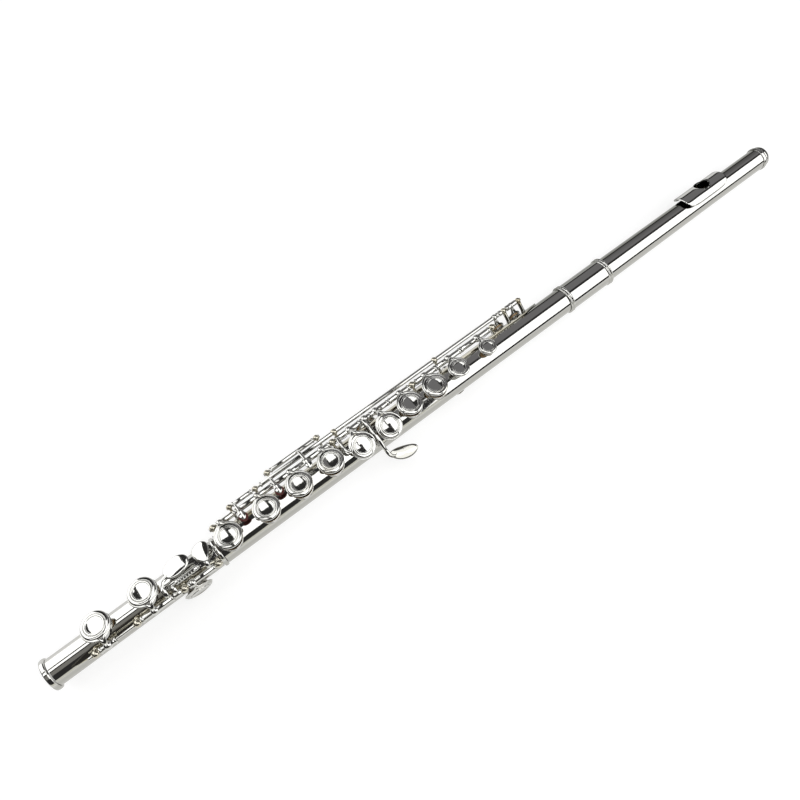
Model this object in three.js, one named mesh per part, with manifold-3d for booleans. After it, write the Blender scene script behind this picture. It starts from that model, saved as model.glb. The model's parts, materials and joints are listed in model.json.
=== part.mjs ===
// A concert flute: closed hole keys, offset G, split E arm, C foot.
// Millimetres. The tube runs along X from the foot (low X) to the crown, keys face +Z,
// the player sits on +Y and the listener on -Y. Angles round the tube are in degrees from
// +Z towards +Y, and a station is the distance from the open end of the foot.
import * as THREE from 'three';
import { mergeVertices } from 'three/addons/utils/BufferGeometryUtils.js';
import Module from 'manifold-3d';

const wasm = await Module();
wasm.setup();

// ---- driving dimensions -------------------------------------------------------------
const GAP = 0.3;                 // clearance where two pieces meet
const WALL = 0.45;               // tube wall
const BODY_R = 10.05;            // outside radius of the body tube
const FOOT_R = 9.9;              // outside radius of the foot tube
const BARREL_R = 10.6;           // outside radius of the barrel between its rings
const HEAD_R_LOW = 9.45;         // head tube at the barrel
const HEAD_R_HIGH = 8.92;        // head tube from the lip plate to the crown
const RING_R = 11.4;             // end rings
const FOOT_ROLL = 23.4;          // the foot joint is turned this far towards the player

const FOOT_END = 126.5;          // station of the foot joint's upper end
const BODY_START = 127;          // lower end ring of the body
const BARREL_START = 443;
const BARREL_END = 487;
const HEAD_TENON = 449;          // the head tube starts here, inside the barrel
const TAPER_END = 600;
const EMBOUCHURE = 600;          // centre of the blow hole
const EMBOUCHURE_ROLL = 35;      // the lip plate faces this far towards the player
const HEAD_END = 662.2;
const CROWN_END = 673;

const HOLE_R = 7.8;              // inside radius of a main tone hole
const CHIMNEY_WALL = 0.5;
const CHIMNEY_TOP = 11.55;       // height of a chimney's rim above the bore axis
const PAD_FACE = CHIMNEY_TOP + 0.35;
const PAD_THICK = 1.6;
const CUP_CEILING = PAD_FACE + PAD_THICK + GAP;
const CUP_SKIRT = 0.55;          // thickness of a cup's side wall
const CUP_TOP = CUP_CEILING + 0.85;
const CUP_ROUND = 0.7;           // how far in the top edge of a cup is rounded
const CUP_DROP = 0.45;           // the rounding and the dished middle both fall this far
const SKIRT_START = PAD_FACE + 0.7;
const ARM_THICK = 1.3;
const ARM_HALF = 1.7;            // half the width of a cup's arm
const OPEN_ANGLE = 9.6;          // an open standing key rests this far from its hole

const TUBE_R = 2.0;              // hinge tube
const TUBE_BORE = 1.3;
const STEEL_R = 0.95;            // hinge steel
const POST_R = 1.25;
const BALL_R = 2.5;
const RIB_THICK = 0.8;
const RIB_HALF_ANGLE = 18;
const INSIDE_BORE = 4;           // chimneys and cutting tools start this high above the axis
const OVERSHOOT = 1;             // cutting tools reach this far past what they cut
const BORE_REACH = 3;            // and this far past a hinge tube, through its own levers

const ROUND = 20;                // sides of the big tubes
const CUP_SIDES = 16;
const ROD_SIDES = 8;

// A hinge line runs along X at a radius and an angle round the tube.
const MAIN_LINE = { radius: 16, angle: 54.5 };
const TRILL_LINE = { radius: 20.6, angle: 64 };
const SIDE_LINE = { radius: 24.45, angle: 75.8 };
const THUMB_LINE = { radius: 15.8, angle: 125.5 };
const FOOT_LINE = { radius: 16, angle: -61.9 };

// ---- metals and soft materials ------------------------------------------------------
function metal(colour, roughness) {
  return new THREE.MeshStandardMaterial({ color: colour, roughness, metalness: 1 });
}
function soft(colour, roughness) {
  return new THREE.MeshStandardMaterial({ color: colour, roughness, metalness: 0 });
}
const SILVER = () => metal(0xe4e5e4, 0.16);
const STEEL = () => metal(0xb9bcc0, 0.3);
const BRASS = () => metal(0xc9a45a, 0.35);
const PAD_SKIN = () => soft(0xdfc99b, 0.7);
const CORK = () => soft(0xb98a58, 0.9);

// ---- small tools --------------------------------------------------------------------
const radians = THREE.MathUtils.degToRad;

// A point at an angle round the tube, in the plane across it.
function polar(angle, radius) {
  return [radius * Math.sin(radians(angle)), radius * Math.cos(radians(angle))];
}

// One closed skin with its faces pointing out.
function closed(geometry) {
  const bare = geometry.clone();
  bare.deleteAttribute('normal');
  bare.deleteAttribute('uv');
  const merged = mergeVertices(bare, 1e-4);
  const index = Array.from(merged.index.array);
  const corner = [0, 1, 2].map(() => new THREE.Vector3());
  const kept = [];
  let volume = 0;
  for (let i = 0; i < index.length; i += 3) {
    const [a, b, c] = index.slice(i, i + 3);
    if (a === b || b === c || a === c) continue;
    kept.push(a, b, c);
    corner.forEach((v, k) => v.fromBufferAttribute(merged.attributes.position, index[i + k]));
    volume += corner[0].dot(corner[1].clone().cross(corner[2]));
  }
  merged.setIndex(volume < 0 ? kept.reverse() : kept);
  return merged;
}

function solid(geometry) {
  const skin = closed(geometry);
  return new wasm.Manifold(new wasm.Mesh({
    numProp: 3,
    vertProperties: new Float32Array(skin.attributes.position.array),
    triVerts: new Uint32Array(skin.index.array),
  }));
}

function join(pieces) {
  return pieces.map(solid).reduce((sum, piece) => sum.add(piece));
}

function cut(body, tools) {
  return tools.map(solid).reduce((rest, tool) => rest.subtract(tool), body);
}

function skin(manifold) {
  const mesh = manifold.getMesh();
  const geometry = new THREE.BufferGeometry();
  geometry.setAttribute('position', new THREE.BufferAttribute(new Float32Array(mesh.vertProperties), 3));
  geometry.setIndex(Array.from(mesh.triVerts));
  return geometry;
}

// A turned shape round X from [station, radius] points; it closes on itself or on the axis.
function turnedX(points, sides = ROUND) {
  const profile = points.map(([x, r]) => new THREE.Vector2(r, x));
  return new THREE.LatheGeometry(profile, sides).rotateZ(-Math.PI / 2);
}

// A turned shape round Z from [radius, height] points.
function turnedZ(points, sides = CUP_SIDES) {
  const profile = points.map(([r, z]) => new THREE.Vector2(r, z));
  return new THREE.LatheGeometry(profile, sides).rotateX(Math.PI / 2);
}

function sleeve(x0, x1, inner, outer, sides = ROUND) {
  return turnedX([[x0, inner], [x0, outer], [x1, outer], [x1, inner], [x0, inner]], sides);
}

function rod(x0, x1, radius, sides = ROD_SIDES) {
  return turnedX([[x0, 0], [x0, radius], [x1, radius], [x1, 0]], sides);
}

// A flat ribbon: a line of [y, z] points given a thickness, from x0 to x1.
function ribbon(points, thickness, x0, x1) {
  const line = points.map(([y, z]) => new THREE.Vector2(y, z));
  const side = line.map((p, i) => {
    const before = line[Math.max(i - 1, 0)];
    const after = line[Math.min(i + 1, line.length - 1)];
    const along = after.clone().sub(before).normalize();
    return new THREE.Vector2(-along.y, along.x).multiplyScalar(thickness / 2);
  });
  const left = line.map((p, i) => p.clone().add(side[i]));
  const right = line.map((p, i) => p.clone().sub(side[i])).reverse();
  const shape = new THREE.Shape([...left, ...right]);
  const geometry = new THREE.ExtrudeGeometry(shape, { depth: x1 - x0, bevelEnabled: false });
  const turn = new THREE.Matrix4().makeBasis(
    new THREE.Vector3(0, 1, 0), new THREE.Vector3(0, 0, 1), new THREE.Vector3(1, 0, 0));
  return geometry.applyMatrix4(turn).translate(x0, 0, 0);
}

// A flat plate whose outline is drawn in x and y, standing at a height on Z.
function plate(shape, thickness, height) {
  const geometry = new THREE.ExtrudeGeometry(shape,
    { depth: thickness, bevelEnabled: false, curveSegments: 8 });
  return geometry.translate(0, 0, height);
}

function oval(x, y, halfLength, halfWidth) {
  const shape = new THREE.Shape();
  shape.absellipse(x, y, halfLength, halfWidth, 0, Math.PI * 2);
  return shape;
}

// A straight round bar between two points.
function bar(from, to, radius, sides = 6) {
  const a = new THREE.Vector3(...from);
  const b = new THREE.Vector3(...to);
  const along = b.clone().sub(a);
  const geometry = new THREE.CylinderGeometry(radius, radius, along.length(), sides);
  const turn = new THREE.Quaternion().setFromUnitVectors(new THREE.Vector3(0, 1, 0),
    along.clone().normalize());
  return geometry.applyQuaternion(turn).translate(...a.add(b).multiplyScalar(0.5).toArray());
}

// Turns a shape that was made facing +Z to its angle round the tube and its station.
function facing(geometry, angle, station = 0) {
  return geometry.rotateX(-radians(angle)).translate(station, 0, 0);
}

const flute = new THREE.Group();
const footJoint = new THREE.Group();
footJoint.rotation.x = -radians(FOOT_ROLL);
flute.add(footJoint);

function addPiece(name, shape, material, parent = flute) {
  const geometry = shape instanceof THREE.BufferGeometry ? closed(shape) : skin(shape);
  geometry.computeVertexNormals();
  const mesh = new THREE.Mesh(geometry, material);
  mesh.name = name;
  parent.add(mesh);
  return mesh;
}

// ---- tubes with drawn tone holes ----------------------------------------------------
function chimney({ station, angle, hole }) {
  const outside = hole + CHIMNEY_WALL;
  return facing(turnedZ([[0, INSIDE_BORE], [outside, INSIDE_BORE], [outside, CHIMNEY_TOP],
    [0, CHIMNEY_TOP]]), angle, station);
}
function holeCut({ station, angle, hole }) {
  const [low, high] = [INSIDE_BORE / 2, CHIMNEY_TOP + OVERSHOOT];
  return facing(turnedZ([[0, low], [hole, low], [hole, high], [0, high]]), angle, station);
}
function drilledTube(x0, x1, outer, holes) {
  const blank = join([rod(x0, x1, outer, ROUND), ...holes.map(chimney)]);
  const bore = rod(x0 - OVERSHOOT, x1 + OVERSHOOT, outer - WALL, ROUND);
  return cut(blank, [bore, ...holes.map(holeCut)]);
}

// ---- keys ---------------------------------------------------------------------------
function cupShape(radius) {
  const inside = radius - CUP_SKIRT;
  return turnedZ([[0, CUP_CEILING], [inside, CUP_CEILING], [inside, SKIRT_START],
    [radius, SKIRT_START], [radius, CUP_TOP - CUP_DROP], [radius - CUP_ROUND, CUP_TOP],
    [radius * 0.68, CUP_TOP], [radius * 0.6, CUP_TOP - CUP_DROP], [0, CUP_TOP - CUP_DROP]]);
}
function padShape(radius) {
  const edge = radius - CUP_SKIRT - GAP;
  return turnedZ([[0, PAD_FACE], [edge, PAD_FACE], [edge, PAD_FACE + PAD_THICK],
    [0, PAD_FACE + PAD_THICK]]);
}
// The arm between a hinge tube and the nearest edge of a cup, in the cup's own frame. It
// rises a little between the two.
function armShape(hinge, radius) {
  const side = Math.sign(hinge[0]);
  const edge = [side * (radius - 0.2), SKIRT_START + 1];
  const middle = [(hinge[0] + edge[0]) / 2 + side * 0.6, (hinge[1] + edge[1]) / 2 + 0.8];
  return ribbon([hinge, middle, edge], ARM_THICK, -ARM_HALF, ARM_HALF);
}

// A hinge line seen from a frame that faces another angle.
function hingeSeenFrom(line, angle) {
  return polar(line.angle - angle, line.radius);
}

// A shape drawn in its joint's frame, moved into the frame of a key's tone hole.
function seenFromKey(geometry, station, angle) {
  return geometry.translate(-station, 0, 0).rotateX(radians(angle));
}

// A key is drawn closed, in the frame of its tone hole, then opened about its hinge. Its
// extras are drawn where they lie in the joint with the key closed.
function addKey(key) {
  const { name, station, angle, line, radius, tube, open, parent = flute } = key;
  const hinge = hingeSeenFrom(line, angle);
  const frame = new THREE.Group();
  frame.position.x = station;
  frame.rotation.x = -radians(angle);
  parent.add(frame);
  const swing = new THREE.Group();
  swing.position.set(0, hinge[0], hinge[1]);
  swing.rotation.x = -Math.sign(hinge[0]) * radians(open);
  frame.add(swing);
  const toHinge = (geometry) => geometry.translate(0, -hinge[0], -hinge[1]);
  const fromJoint = (geometry) => toHinge(seenFromKey(geometry, station, angle));
  const parts = [cupShape(radius), armShape(hinge, radius)].map(toHinge);
  parts.push(...(key.extras ?? []).map(fromJoint));
  const [x0, x1] = tube.map((end) => end - station);
  if (key.rod) {
    const [r0, r1] = key.rod.map((end) => end - station);
    parts.push(rod(r0, r1, key.steel ?? STEEL_R));
  }
  let shape = join([...parts, rod(x0, x1, key.outer ?? TUBE_R)]);
  const bore = rod(x0 - BORE_REACH, x1 + BORE_REACH, key.bore ?? TUBE_BORE);
  if (!key.rod) shape = cut(shape, [bore]);
  addPiece(`${name}_key`, shape, SILVER(), swing);
  if (key.pad !== false) {
    addPiece(`${name}_pad`, toHinge(padShape(radius)), PAD_SKIN(), swing);
  }
  return { swing, fromJoint };
}

// ---- ribs and posts -----------------------------------------------------------------
function ribStrip(x0, x1, angle, tubeRadius) {
  const inner = tubeRadius + GAP;
  const steps = [-1, -0.5, 0, 0.5, 1].map((k) => angle + k * RIB_HALF_ANGLE);
  const line = steps.map((a) => polar(a, inner + RIB_THICK / 2));
  return ribbon(line, RIB_THICK, x0, x1);
}
function post(station, line, foot, radius = BALL_R) {
  const [y, z] = polar(line.angle, line.radius);
  const base = polar(foot, BODY_R + GAP + RIB_THICK / 2);
  const ball = new THREE.SphereGeometry(radius, 8, 6).rotateZ(Math.PI / 2);
  return [bar([station, ...base], [station, y, z], POST_R), ball.translate(station, y, z)];
}
// Clears a hinge line through every post and stray edge that it meets.
function lineBore(line, x0, x1, radius) {
  return rod(x0, x1, radius).translate(0, ...polar(line.angle, line.radius));
}

function onLine(geometry, line) {
  return geometry.translate(0, ...polar(line.angle, line.radius));
}

// ---- the stations of the tone holes and keys ------------------------------------------
const MAIN_CUP = 9.2;
const LOW_CUP = 9.8;
const G_OFFSET = -19;            // the G keys stand towards the listener
const G_SHARP_ANGLE = 116;
const TRILL_ANGLE = 98;
const D_SHARP_ANGLE = -116;      // in the foot joint's own frame

const bodyKeys = [
  { name: 'd', station: 140.1, angle: 0, hole: HOLE_R, radius: MAIN_CUP, tube: [137.4, 152.2] },
  { name: 'e', station: 170.5, angle: 0, hole: HOLE_R, radius: MAIN_CUP, tube: [152.6, 183.2] },
  { name: 'f', station: 197.5, angle: 0, hole: HOLE_R, radius: MAIN_CUP, tube: [183.6, 210.2] },
  { name: 'f_sharp', station: 224, angle: 0, hole: HOLE_R, radius: MAIN_CUP, tube: [210.6, 230.9] },
  { name: 'lower_g', station: 248.2, angle: G_OFFSET, hole: HOLE_R, radius: MAIN_CUP,
    tube: [236.4, 257.6] },
  { name: 'upper_g', station: 271.8, angle: G_OFFSET, hole: HOLE_R, radius: MAIN_CUP,
    tube: [266.4, 283] },
  { name: 'a', station: 293.6, angle: 0, hole: 7.4, radius: 9, tube: [283.4, 302] },
  { name: 'b_flat', station: 316.5, angle: 0, hole: 7.2, radius: 8.9, tube: [307.8, 327] },
  { name: 'c_sharp_vent', station: 366.2, angle: 0, hole: 3.5, radius: 6.3, tube: [350.4, 378.1] },
];
const gSharp = { name: 'g_sharp', station: 262, angle: G_SHARP_ANGLE, hole: 6.8, radius: 8.4,
  tube: [258, 266] };
const thumbB = { name: 'thumb_b', station: 338, angle: 180, hole: 6.6, radius: 8.1,
  tube: [321.2, 345] };
const TRILL_TUBE = { outer: 1.6, bore: 1.1, steel: 0.75 };
const dTrill = { name: 'd_trill', station: 388, angle: TRILL_ANGLE, hole: 4.2, radius: 5.6,
  tube: [176, 391.5] };
const dSharpTrill = { name: 'd_sharp_trill', station: 404.5, angle: TRILL_ANGLE, hole: 4.2,
  radius: 5.6, tube: [401.5, 407.5] };
const footKeys = {
  lowC: { name: 'low_c', station: 41.9, angle: 0, hole: 8.1, radius: LOW_CUP, tube: [36, 48] },
  lowCSharp: { name: 'low_c_sharp', station: 76.2, angle: 0, hole: 8.1, radius: LOW_CUP,
    tube: [66.4, 90] },
  dSharp: { name: 'd_sharp', station: 104.6, angle: D_SHARP_ANGLE, hole: 7, radius: LOW_CUP,
    tube: [101.5, 121.9] },
};

const bodyHoles = [...bodyKeys, gSharp, thumbB, dTrill, dSharpTrill];
const footHoles = Object.values(footKeys);

// ---- foot joint -----------------------------------------------------------------------
const FOOT_RING_WIDTH = 3.8;
addPiece('foot_ring', sleeve(0, FOOT_RING_WIDTH, FOOT_R - WALL, RING_R), SILVER(), footJoint);
addPiece('foot_tube', drilledTube(FOOT_RING_WIDTH + GAP, FOOT_END, FOOT_R, footHoles), SILVER(),
  footJoint);

const footPosts = [33.2, 63.4, 98.8, 124.8];
const FOOT_RIB_ANGLE = -62;
const footRib = join([ribStrip(20, 126, FOOT_RIB_ANGLE, FOOT_R),
  ...footPosts.flatMap((station) => post(station, FOOT_LINE, FOOT_RIB_ANGLE))]);
addPiece('foot_rib', cut(footRib, [
  lineBore(FOOT_LINE, 10, 140, TUBE_BORE),
  ...footHoles.map((hole) => chimney({ ...hole, hole: hole.hole + GAP })),
]), SILVER(), footJoint);

// The roller turns on an axle that the low C key carries beside its long steel.
const ROLLER = { y: -9.6, z: 12.6, radius: 1.8, bore: 0.95, start: 96.4, end: 112.4 };
const AXLE = { radius: 0.6, start: 93, head: 112.8, end: 113.9, headRadius: 1.3 };
const LOW_C_ARM = { start: 92, end: 95, collar: [91, 96] };
const footHinge = polar(FOOT_LINE.angle, FOOT_LINE.radius);
const onRoller = (geometry) => geometry.translate(0, ROLLER.y, ROLLER.z);
const lowC = addKey({ ...footKeys.lowC, line: FOOT_LINE, open: OPEN_ANGLE, parent: footJoint,
  rod: [28, 126.6],
  extras: [
    onLine(rod(...LOW_C_ARM.collar, TUBE_R), FOOT_LINE),
    ribbon([footHinge, [-13.4, 11], [ROLLER.y, ROLLER.z]], 1.4, LOW_C_ARM.start, LOW_C_ARM.end),
    onRoller(rod(AXLE.start, AXLE.end, AXLE.radius)),
    onRoller(rod(AXLE.head, AXLE.end, AXLE.headRadius)),
  ] });
const roller = onRoller(sleeve(ROLLER.start, ROLLER.end, ROLLER.bore, ROLLER.radius, CUP_SIDES));
addPiece('low_c_roller', lowC.fromJoint(roller), SILVER(), lowC.swing);

// The low C sharp arm rises over the tube and its plate runs up beside the roller.
const LOW_C_SHARP_PLATE = { start: 86.4, arm: 89.8, end: 113 };
addKey({ ...footKeys.lowCSharp, line: FOOT_LINE, open: OPEN_ANGLE, parent: footJoint,
  extras: [
    ribbon([footHinge, [-11, 12.8], [-6.3, 14.4], [0, 15.2]], ARM_THICK,
      LOW_C_SHARP_PLATE.start, LOW_C_SHARP_PLATE.arm),
    ribbon([[-6.3, 14.4], [-1.5, 15.3], [3.6, 15]], ARM_THICK,
      LOW_C_SHARP_PLATE.start, LOW_C_SHARP_PLATE.end),
  ] });
addKey({ ...footKeys.dSharp, line: FOOT_LINE, open: 0, parent: footJoint,
  extras: [
    ribbon([footHinge, [-13.4, 11.5], [-9.5, 14.6], [-5, 16.2]], ARM_THICK, 117, 121),
    ribbon([[-9.5, 14.6], [-3, 16.6], [3, 16.9]], ARM_THICK, 115.5, 123.5),
  ] });

// ---- body -----------------------------------------------------------------------------
const TENON_START = 111;
const TENON_R = FOOT_R - WALL - 0.25;
const BODY_RING_END = 130;
addPiece('body_tenon', turnedX([[TENON_START, TENON_R - WALL], [TENON_START, TENON_R],
  [BODY_START, TENON_R], [BODY_START, RING_R - 0.4], [BODY_RING_END, RING_R - 0.4],
  [BODY_RING_END, TENON_R - WALL], [TENON_START, TENON_R - WALL]]), SILVER());
addPiece('body_tube', drilledTube(BODY_RING_END + GAP, BARREL_START - GAP, BODY_R, bodyHoles),
  SILVER());
const BARREL_BORE = 9.75;
const BARREL_RING = 4.2;
addPiece('barrel', turnedX([[BARREL_START, BARREL_BORE], [BARREL_START, RING_R],
  [BARREL_START + BARREL_RING, RING_R], [BARREL_START + BARREL_RING, BARREL_R],
  [BARREL_END - BARREL_RING, BARREL_R], [BARREL_END - BARREL_RING, RING_R],
  [BARREL_END, RING_R], [BARREL_END, BARREL_BORE], [BARREL_START, BARREL_BORE]]), SILVER());

const RIB_ANGLE = 61;
const mainPosts = [134.6, 233.6, 304.9, 381];
const trillPosts = [151, 172, 397, 411.5];
const trillGuides = [239, 330];
const sidePosts = [185, 227];
const OUTER_FOOT = 73;           // where the outer lines' posts stand on the rib
const slimPost = (station, line, ball) => {
  const [y, z] = polar(line.angle, line.radius);
  const base = polar(OUTER_FOOT, BODY_R + GAP + RIB_THICK / 2);
  const sphere = new THREE.SphereGeometry(ball, 8, 6).rotateZ(Math.PI / 2);
  return [bar([station, ...base], [station, y, z], 1), sphere.translate(station, y, z)];
};
const mainRib = join([ribStrip(132, 419, RIB_ANGLE, BODY_R),
  ...mainPosts.flatMap((station) => post(station, MAIN_LINE, RIB_ANGLE)),
  ...trillPosts.flatMap((station) => slimPost(station, TRILL_LINE, 2)),
  ...trillGuides.flatMap((station) => slimPost(station, TRILL_LINE, 2.7)),
  ...sidePosts.flatMap((station) => slimPost(station, SIDE_LINE, 2.2))]);
addPiece('main_rib', cut(mainRib, [
  lineBore(MAIN_LINE, 120, 430, TUBE_BORE),
  lineBore(TRILL_LINE, 140, 420, TRILL_TUBE.bore),
  lineBore(TRILL_LINE, 230, 340, TRILL_TUBE.outer + GAP),
  lineBore(SIDE_LINE, 180, 232, TRILL_TUBE.bore),
  ...bodyHoles.map((hole) => chimney({ ...hole, hole: hole.hole + GAP })),
]), SILVER());

addPiece('right_hand_steel', onLine(rod(132.3, 233.4, STEEL_R), MAIN_LINE), STEEL());
addPiece('left_hand_steel', onLine(rod(233.8, 383.2, STEEL_R), MAIN_LINE), STEEL());
addPiece('side_steel', onLine(rod(183, 229, TRILL_TUBE.steel), SIDE_LINE), STEEL());

const mainHinge = polar(MAIN_LINE.angle, MAIN_LINE.radius);
// The lower G key carries the split E arm, which comes forward beside its cup.
const splitEArm = [
  ribbon([mainHinge, [9.5, 14.2], [2, 14.3], [-4.5, 13.4]], ARM_THICK, 236.8, 238.6),
  ribbon([[-2.6, 13.9], [-4.5, 13.4]], ARM_THICK, 236.8, 239.4),
];
for (const key of bodyKeys) {
  const extras = key.name === 'lower_g' ? splitEArm : [];
  addKey({ ...key, line: MAIN_LINE, open: OPEN_ANGLE, extras });
}
addKey({ name: 'c', station: 338.8, angle: 0, radius: 7.5, tube: [327.4, 350], line: MAIN_LINE,
  open: OPEN_ANGLE, pad: false });

// The G sharp lever crosses between the two G cups and ends in a spoon for the little finger.
const SPOON = { station: 270.6, y: -21.6, halfLength: 10.6, halfWidth: 4.6, turn: -20, height: 2.7 };
const leverLine = [mainHinge, [9.6, 13.2], [2, 13.8], [-7, 12], [-13.2, 6.8], [-16.6, 3.8],
  [-20.5, 3.4]];
addKey({ ...gSharp, line: MAIN_LINE, open: 0,
  extras: [
    ribbon(leverLine, 1.5, 258.5, 261.5),
    plate(oval(0, 0, SPOON.halfLength, SPOON.halfWidth), 1.4, SPOON.height)
      .rotateZ(radians(SPOON.turn)).translate(SPOON.station, SPOON.y, 0),
  ] });

// ---- trill keys -----------------------------------------------------------------------
const LEVER_THICK = 1.2;
const TOUCH_HALF_LENGTH = 2.4;
const trillHinge = polar(TRILL_LINE.angle, TRILL_LINE.radius);
function trillTouch(station) {
  return [
    ribbon([trillHinge, [16.2, 13], [10.8, 15.4], [5.4, 16.6]], LEVER_THICK,
      station - TOUCH_HALF_LENGTH / 2, station + TOUCH_HALF_LENGTH / 2),
    plate(oval(station, 7, TOUCH_HALF_LENGTH, 3.6), ARM_THICK, 15.7),
  ];
}
const D_TRILL_TOUCH = 184.2;
const D_SHARP_TRILL_TOUCH = 155;
addKey({ ...dTrill, line: TRILL_LINE, open: 0, outer: TRILL_TUBE.outer, bore: TRILL_TUBE.bore,
  extras: trillTouch(D_TRILL_TOUCH) });
addKey({ ...dSharpTrill, line: TRILL_LINE, open: 0, outer: TRILL_TUBE.outer,
  rod: [149, 413.5], steel: TRILL_TUBE.steel, extras: trillTouch(D_SHARP_TRILL_TOUCH) });

// ---- side B flat lever ----------------------------------------------------------------
const sideHinge = polar(SIDE_LINE.angle, SIDE_LINE.radius);
addPiece('side_b_flat_lever', cut(join([
  onLine(rod(187.5, 224.5, TRILL_TUBE.outer), SIDE_LINE),
  ribbon([sideHinge, [22.6, 11.2], [17.4, 14], [12, 15.6], [8.6, 16.2]], LEVER_THICK, 209.2, 212),
  plate(oval(210.6, 9.4, 2.6, 3.8), ARM_THICK, 15.5),
]), [lineBore(SIDE_LINE, 185, 227, TRILL_TUBE.bore)]), SILVER());

// ---- thumb keys on the underside --------------------------------------------------------
const THUMB_POSTS = [303.5, 347.8];
const THUMB_RIB_ANGLE = 117;
addPiece('thumb_rib', cut(join([
  ribbon([-9, 0, 9].map((turn) => polar(THUMB_RIB_ANGLE + turn, BODY_R + GAP + RIB_THICK / 2)),
    RIB_THICK, 299, 352),
  ...THUMB_POSTS.flatMap((station) => post(station, THUMB_LINE, THUMB_RIB_ANGLE)),
]), [lineBore(THUMB_LINE, 295, 355, TUBE_BORE)]), SILVER());
addPiece('thumb_steel', onLine(rod(301.2, 350.1, STEEL_R), THUMB_LINE), STEEL());
// The thumb touches are drawn facing up, in the frame of the thumb key's own hole.
const thumbHinge = hingeSeenFrom(THUMB_LINE, thumbB.angle);
const THUMB_TOUCH = { x: -13, y: -0.6, halfLength: 3.6, halfWidth: 6.6, height: 14 };
addKey({ ...thumbB, line: THUMB_LINE, open: OPEN_ANGLE,
  extras: [
    ribbon([thumbHinge, [-9.6, 13.4], [-4, 14.6]], ARM_THICK, -14.2, -11.2),
    plate(oval(THUMB_TOUCH.x, THUMB_TOUCH.y, THUMB_TOUCH.halfLength, THUMB_TOUCH.halfWidth),
      ARM_THICK, THUMB_TOUCH.height),
  ].map((shape) => facing(shape, thumbB.angle, thumbB.station)) });
const THUMB_LEVER = { tube: [306.2, 320.8], station: 315, halfLength: 4.6, height: 15.4 };
const onThumbLine = (geometry) => geometry.translate(0, ...thumbHinge);
const thumbLever = [
  onThumbLine(rod(...THUMB_LEVER.tube, TUBE_R)),
  ribbon([thumbHinge, [-9.6, 14.6], [-4, 16]], ARM_THICK, THUMB_LEVER.station - 1.6,
    THUMB_LEVER.station + 1.6),
  plate(oval(THUMB_LEVER.station, THUMB_TOUCH.y, THUMB_LEVER.halfLength, THUMB_TOUCH.halfWidth),
    ARM_THICK, THUMB_LEVER.height),
];
addPiece('thumb_b_flat_lever', cut(join(thumbLever), [onThumbLine(rod(304, 323, TUBE_BORE))])
  .rotate([thumbB.angle, 0, 0]), SILVER());

// ---- head joint -------------------------------------------------------------------------
function headProfile(inset) {
  return [[HEAD_TENON, HEAD_R_LOW - inset], [BARREL_END + 8, HEAD_R_LOW - inset],
    [TAPER_END, HEAD_R_HIGH - inset], [HEAD_END, HEAD_R_HIGH - inset]];
}
const RISER = { length: 7.4, width: 6.6, wall: 1.2, top: 11.65 };
function ovalPost(length, width, low, high) {
  return facing(plate(oval(0, 0, length, width), high - low, low), EMBOUCHURE_ROLL, EMBOUCHURE);
}
const headOuter = headProfile(0);
const headInner = headProfile(WALL).reverse();
addPiece('head_tube', cut(solid(turnedX([...headOuter, ...headInner, headOuter[0]])),
  [ovalPost(RISER.length + GAP, RISER.width + GAP, 4, 14)]), SILVER());
const riser = cut(solid(ovalPost(RISER.length, RISER.width, 5, 14)),
  [ovalPost(RISER.length - RISER.wall, RISER.width - RISER.wall, 4, 15),
    rod(EMBOUCHURE - 20, EMBOUCHURE + 20, HEAD_R_HIGH - WALL, ROUND)]);
addPiece('riser', riser.intersect(solid(rod(EMBOUCHURE - 20, EMBOUCHURE + 20, RISER.top, ROUND))),
  SILVER());

const LIP = { halfLength: 22.8, shift: -2.2, halfWidth: 11.6, thick: 1, middle: 12.5, drop: 1.9,
  spread: 74 };
const lipLine = [-1, -0.85, -0.7, -0.5, -0.25, 0, 0.25, 0.5, 0.7, 0.85, 1].map((k) =>
  polar(k * LIP.spread, LIP.middle - LIP.drop * k ** 4));
const lipBlank = ribbon(lipLine, LIP.thick, LIP.shift - LIP.halfLength, LIP.shift + LIP.halfLength);
const lipOutline = plate(oval(LIP.shift, 0, LIP.halfLength, LIP.halfWidth), 16, 0);
const lipHole = plate(oval(0, 0, RISER.length - RISER.wall, RISER.width - RISER.wall), 10, 8);
const lipPlate = skin(cut(solid(lipBlank).intersect(solid(lipOutline)), [lipHole]));
addPiece('lip_plate', facing(lipPlate, EMBOUCHURE_ROLL, EMBOUCHURE), SILVER());

// ---- the stopper and the crown ------------------------------------------------------------
const CORK_R = HEAD_R_HIGH - WALL - GAP;
const CORK_START = EMBOUCHURE + 18.5;
const CORK_END = CORK_START + 15.5;
const SCREW_R = 1.6;
const SCREW_CLEAR = 1.95;
addPiece('stopper_cork', sleeve(CORK_START, CORK_END, SCREW_CLEAR, CORK_R), CORK());
addPiece('stopper_screw', turnedX([[CORK_START - 1.5, 0], [CORK_START - 1.5, CORK_R],
  [CORK_START - GAP, CORK_R], [CORK_START - GAP, SCREW_R], [660, SCREW_R], [660, 0]]), BRASS());
addPiece('stopper_nut', sleeve(CORK_END + GAP, CORK_END + 2.4, SCREW_CLEAR, 6), BRASS());
addPiece('crown', turnedX([[652.5, SCREW_CLEAR], [652.5, 8.1], [HEAD_END + GAP, 8.1],
  [HEAD_END + GAP, 9.4], [663.6, 9.75], [665.2, 9.7], [666.2, 9.2], [668.6, 8.7], [670.8, 7.2],
  [672.4, 4.4], [CROWN_END, 1.2], [CROWN_END, 0], [662, 0], [662, SCREW_CLEAR],
  [652.5, SCREW_CLEAR]]), SILVER());

// ---- the origin is under the middle of the flute, on the surface it stands on --------------
const bounds = new THREE.Box3().setFromObject(flute, true);
const middle = bounds.getCenter(new THREE.Vector3());
const part = new THREE.Group();
flute.position.set(-middle.x, -middle.y, -bounds.min.z);
part.add(flute);

export default part;
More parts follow.
